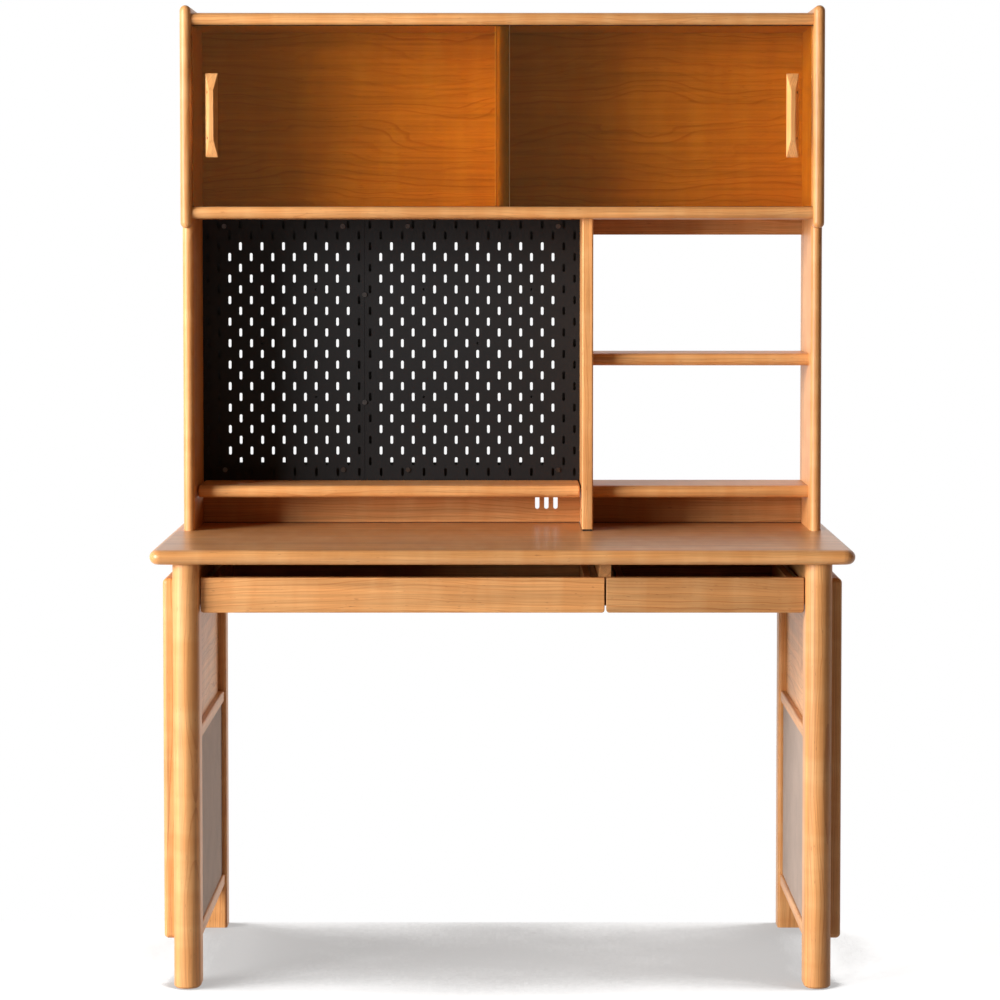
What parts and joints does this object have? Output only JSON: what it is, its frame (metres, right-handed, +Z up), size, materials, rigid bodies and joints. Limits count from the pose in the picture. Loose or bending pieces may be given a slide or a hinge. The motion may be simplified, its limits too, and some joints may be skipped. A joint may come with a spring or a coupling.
{
  "type": "study desk",
  "caption": "Wooden study desk with shallow drawers on telescopic runners and a hutch with sliding glass doors, a slotted steel pegboard and open shelves.",
  "frame": {"origin": "on the floor under the middle of the desk's footprint", "axes": "+Z up; -Y towards the sitter, so +Y towards the wall; +X to the sitter's right"},
  "size_m": [1.2, 0.6, 1.7],
  "materials": {
    "top_wood": "satin clear lacquer on cherry",
    "frame_wood": "satin clear lacquer on cherry",
    "hutch_wood": "satin clear lacquer on cherry",
    "panel_wood": "satin clear lacquer on cherry veneer",
    "back_wood": "satin clear lacquer on cherry",
    "black_wood": "matt black stain",
    "drawer_wood": "oiled cherry and veneered plywood",
    "handle_wood": "satin clear lacquer, hand-rubbed edges",
    "grey_panel": "warm grey felt-like covering",
    "black_steel": "matt black powder coat",
    "zinc_steel": "bright zinc plate",
    "black_plastic": "moulded",
    "brown_plastic": "extruded",
    "door_glass": "amber-tinted toughened glass, polished edges"
  },
  "bodies": {
    "desk": {"desktop": "top_wood", "front_leg_left": "frame_wood", "front_leg_right": "frame_wood", "rear_leg_left": "frame_wood", "rear_leg_right": "frame_wood", "side_top_rail_left": "frame_wood", "side_top_rail_right": "frame_wood", "side_mid_rail_left": "frame_wood", "side_mid_rail_right": "frame_wood", "side_bottom_rail_left": "frame_wood", "side_bottom_rail_right": "frame_wood", "side_upper_panel_left": "panel_wood", "side_upper_panel_right": "panel_wood", "side_lower_panel_left": "grey_panel", "side_lower_panel_right": "grey_panel", "outer_side_board_left": "frame_wood", "outer_side_board_right": "frame_wood", "rear_apron": "frame_wood", "drawer_partition": "frame_wood", "foot_glides": "black_plastic", "runner_outer_members": "zinc_steel", "hutch_side_left": "hutch_wood", "hutch_side_right": "hutch_wood", "hutch_divider": "hutch_wood", "divider_pad": "black_plastic", "cabinet_top": "hutch_wood", "cabinet_floor": "hutch_wood", "cabinet_divider": "hutch_wood", "cabinet_back": "panel_wood", "door_track_top": "brown_plastic", "door_track_bottom": "brown_plastic", "pegboard_left": "black_steel", "pegboard_right": "black_steel", "pegboard_frame": "black_wood", "pegboard_screws": "black_steel", "low_shelf_left": "hutch_wood", "low_shelf_right": "hutch_wood", "mid_shelf": "hutch_wood", "back_board_left": "back_wood", "back_board_right": "back_wood", "upper_back_rail": "back_wood", "shelf_pins": "zinc_steel", "hutch_bolts": "zinc_steel"},
    "drawer_left": {"drawer_front_left": "top_wood", "drawer_sides_left": "drawer_wood", "drawer_back_left": "drawer_wood", "drawer_bottom_left": "drawer_wood", "runner_inner_members_left": "zinc_steel"},
    "drawer_right": {"drawer_front_right": "top_wood", "drawer_sides_right": "drawer_wood", "drawer_back_right": "drawer_wood", "drawer_bottom_right": "drawer_wood", "runner_inner_members_right": "zinc_steel"},
    "runners_middle_left": {"runner_middle_members_left": "zinc_steel"},
    "runners_middle_right": {"runner_middle_members_right": "zinc_steel"},
    "door_left": {"glass_door_left": "door_glass", "door_handle_left": "handle_wood"},
    "door_right": {"glass_door_right": "door_glass", "door_handle_right": "handle_wood"}
  },
  "joints": [
    {"name": "drawer_left_slide", "type": "slide", "parent": "desk", "child": "drawer_left", "axis": [0, -1, 0], "range_m": [0, 0.3]},
    {"name": "runners_middle_left_slide", "type": "slide", "parent": "desk", "child": "runners_middle_left", "axis": [0, -1, 0], "range_m": [0, 0.15]},
    {"name": "drawer_right_slide", "type": "slide", "parent": "desk", "child": "drawer_right", "axis": [0, -1, 0], "range_m": [0, 0.3]},
    {"name": "runners_middle_right_slide", "type": "slide", "parent": "desk", "child": "runners_middle_right", "axis": [0, -1, 0], "range_m": [0, 0.15]},
    {"name": "door_left_slide", "type": "slide", "parent": "desk", "child": "door_left", "axis": [1, 0, 0], "range_m": [0, 0.24]},
    {"name": "door_right_slide", "type": "slide", "parent": "desk", "child": "door_right", "axis": [-1, 0, 0], "range_m": [0, 0.24]}
  ],
  "couplings": [
    {"joint": "runners_middle_left_slide", "follows": "drawer_left_slide", "ratio": 0.5},
    {"joint": "runners_middle_right_slide", "follows": "drawer_right_slide", "ratio": 0.5}
  ]
}
